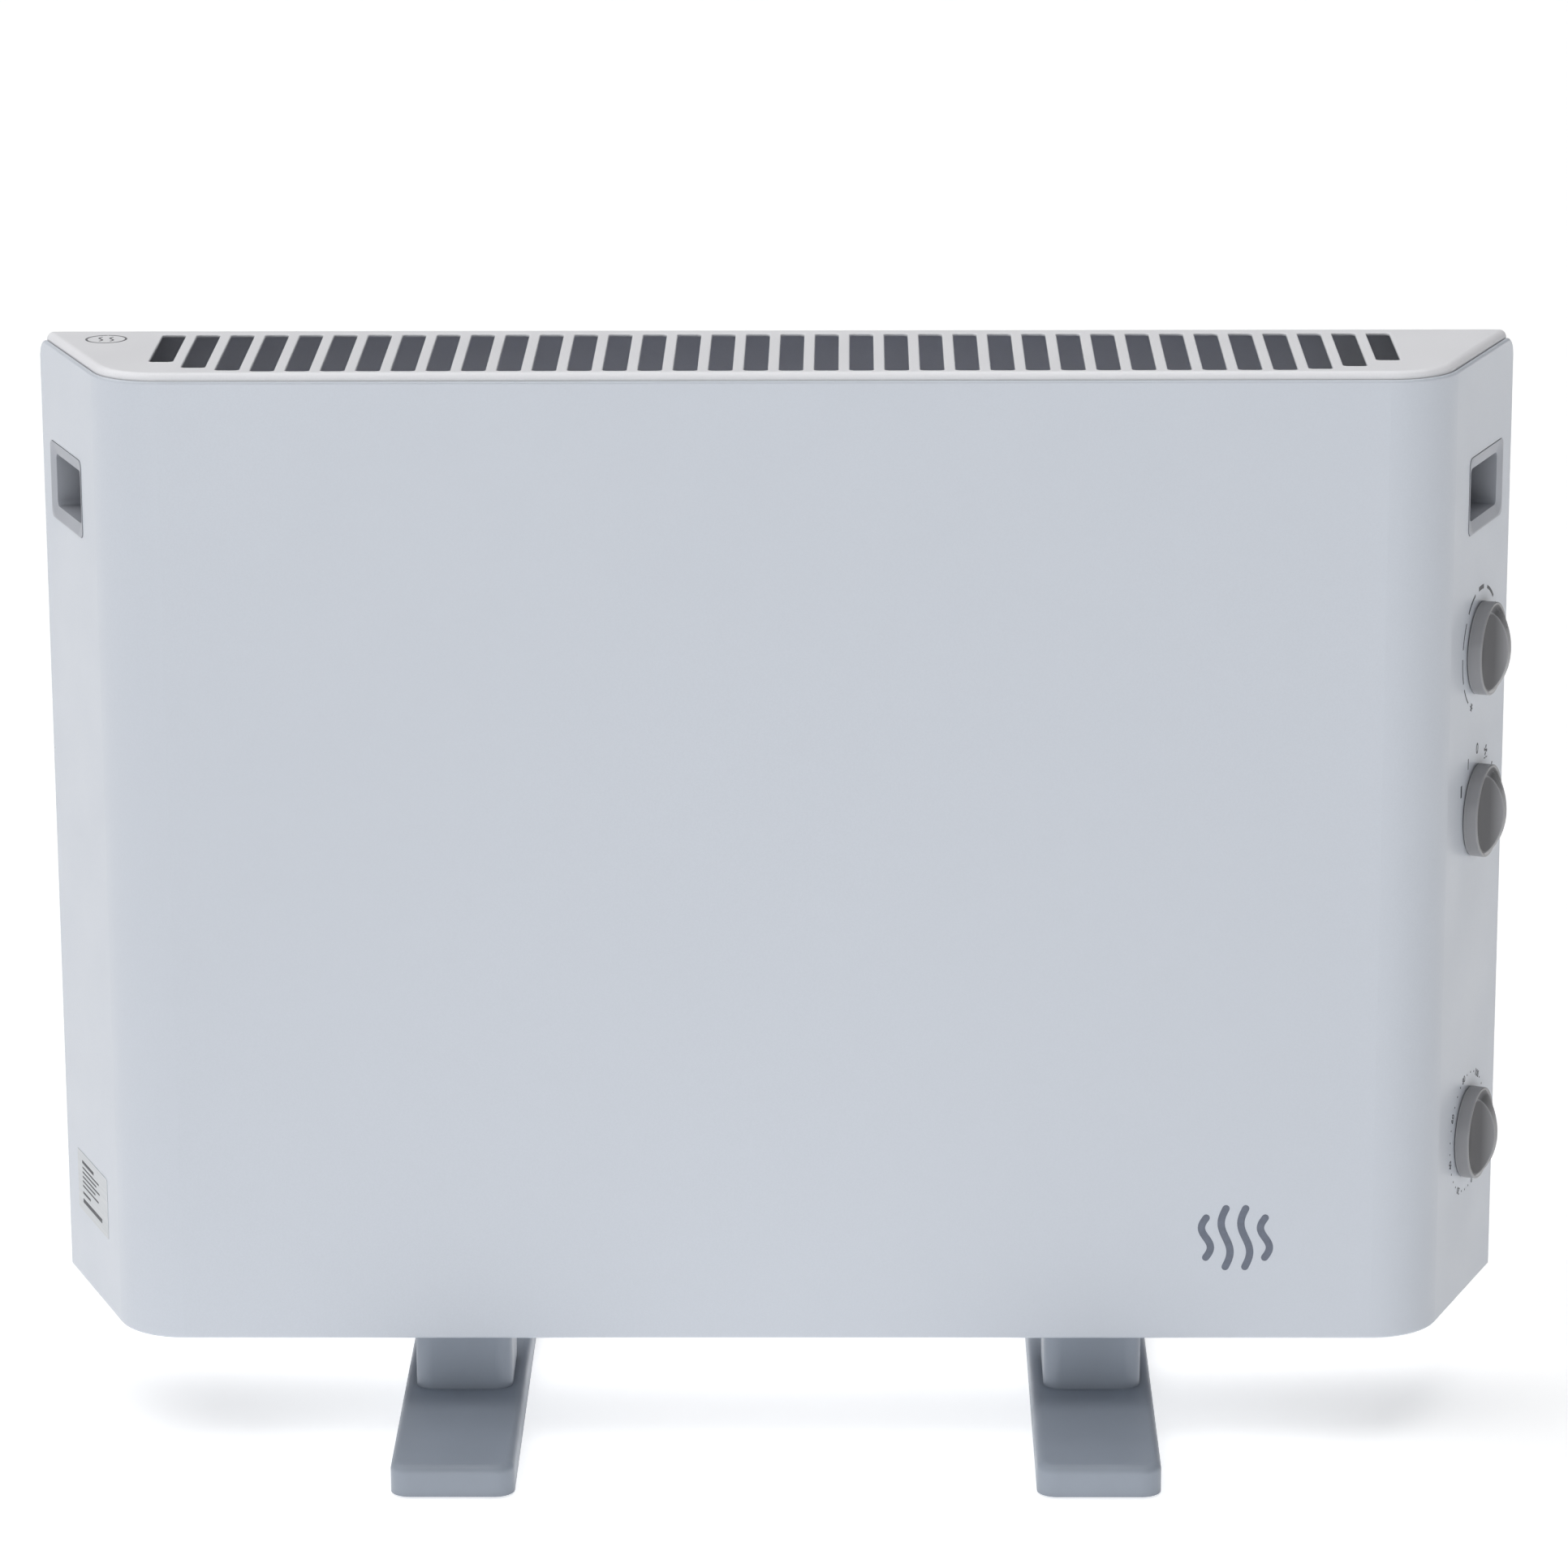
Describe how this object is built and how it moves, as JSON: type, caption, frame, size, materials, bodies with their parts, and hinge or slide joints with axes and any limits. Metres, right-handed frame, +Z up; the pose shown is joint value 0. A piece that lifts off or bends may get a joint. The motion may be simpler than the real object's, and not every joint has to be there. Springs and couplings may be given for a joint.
{
  "type": "fan convector heater",
  "caption": "Slim free-standing fan convector heater: folded steel casing with slotted top outlet, side control knobs, grip recesses and bar feet.",
  "frame": {"origin": "on the floor, under the middle of the casing", "axes": "+Z up, -Y towards the front face, +X towards the side wall with the knobs"},
  "size_m": [0.5988, 0.226, 0.446],
  "materials": {
    "casing_paint": "glossy bluish white stove enamel",
    "grille_paint": "glossy bluish white stove enamel",
    "panel_paint": "semi-gloss pale grey paint",
    "handle_plastic": "fine-grained grey moulding",
    "label_foil": "satin silver foil",
    "knob_plastic": "satin mid-grey moulding",
    "shaft_steel": "turned steel",
    "housing_plastic": "black moulding",
    "screw_steel": "zinc plated",
    "foot_plastic": "satin blue-grey moulding",
    "pad_rubber": "matt",
    "zinc_sheet": "galvanised sheet",
    "shield_sheet": "aluminised sheet",
    "mica": "mica board",
    "heating_wire": "oxidised resistance wire",
    "ceramic": "glazed ceramic",
    "stator_steel": "laminated steel",
    "coil_copper": "lacquered copper",
    "bearing_bronze": "sintered bronze",
    "impeller_plastic": "black moulding",
    "lead_insulation": "silicone sleeve",
    "gland_plastic": "black moulding"
  },
  "bodies": {
    "root": {"bottom_grille": "panel_paint", "casing_shell": "casing_paint", "ceramic_bushes": "ceramic", "control_screws": "screw_steel", "cord_gland": "gland_plastic", "element_frame": "zinc_sheet", "fan_bracket": "zinc_sheet", "fan_coil": "coil_copper", "fan_plate": "zinc_sheet", "fan_stator": "stator_steel", "foot_left": "foot_plastic", "foot_pads": "pad_rubber", "foot_right": "foot_plastic", "foot_screws": "screw_steel", "front_heat_shield": "shield_sheet", "gland_nut": "gland_plastic", "handle_cup_left": "handle_plastic", "handle_cup_right": "handle_plastic", "internal_leads": "lead_insulation", "left_partition": "zinc_sheet", "lower_bearing": "bearing_bronze", "lower_resistance_wire": "heating_wire", "mica_card_1": "mica", "mica_card_2": "mica", "mica_card_3": "mica", "mica_card_4": "mica", "mica_card_5": "mica", "mica_card_6": "mica", "mica_card_7": "mica", "mica_card_8": "mica", "motor_screws": "screw_steel", "motor_strap": "zinc_sheet", "rating_label": "label_foil", "rear_heat_shield": "shield_sheet", "rear_panel": "panel_paint", "rear_screws": "screw_steel", "right_partition": "zinc_sheet", "selector_housing": "housing_plastic", "terminal_block": "housing_plastic", "terminal_screws": "screw_steel", "thermal_cutout": "housing_plastic", "thermostat_housing": "housing_plastic", "timer_housing": "housing_plastic", "top_grille": "grille_paint", "upper_bearing": "bearing_bronze", "upper_resistance_wire": "heating_wire"},
    "thermostat_dial": {"thermostat_knob": "knob_plastic", "thermostat_shaft": "shaft_steel"},
    "selector_dial": {"selector_knob": "knob_plastic", "selector_shaft": "shaft_steel"},
    "timer_dial": {"timer_knob": "knob_plastic", "timer_shaft": "shaft_steel"},
    "fan_wheel": {"fan_shaft": "shaft_steel", "fan_rotor": "stator_steel", "fan_impeller": "impeller_plastic"}
  },
  "joints": [
    {"name": "thermostat_turn", "type": "hinge", "parent": "root", "child": "thermostat_dial", "pos_m": [0.28548, 0.01023, 0.3215], "axis": [-0.9318, 0.3629, 0], "range_deg": [-150, 90]},
    {"name": "selector_turn", "type": "hinge", "parent": "root", "child": "selector_dial", "pos_m": [0.28548, 0.01023, 0.2535], "axis": [-0.9318, 0.3629, 0], "range_deg": [-60, 60]},
    {"name": "timer_turn", "type": "hinge", "parent": "root", "child": "timer_dial", "pos_m": [0.28548, 0.01023, 0.1155], "axis": [-0.9318, 0.3629, 0], "range_deg": [-30, 256]},
    {"name": "fan_spin", "type": "hinge", "parent": "root", "child": "fan_wheel", "pos_m": [0, 0, 0.1], "axis": [0, 0, 1], "continuous": true}
  ]
}
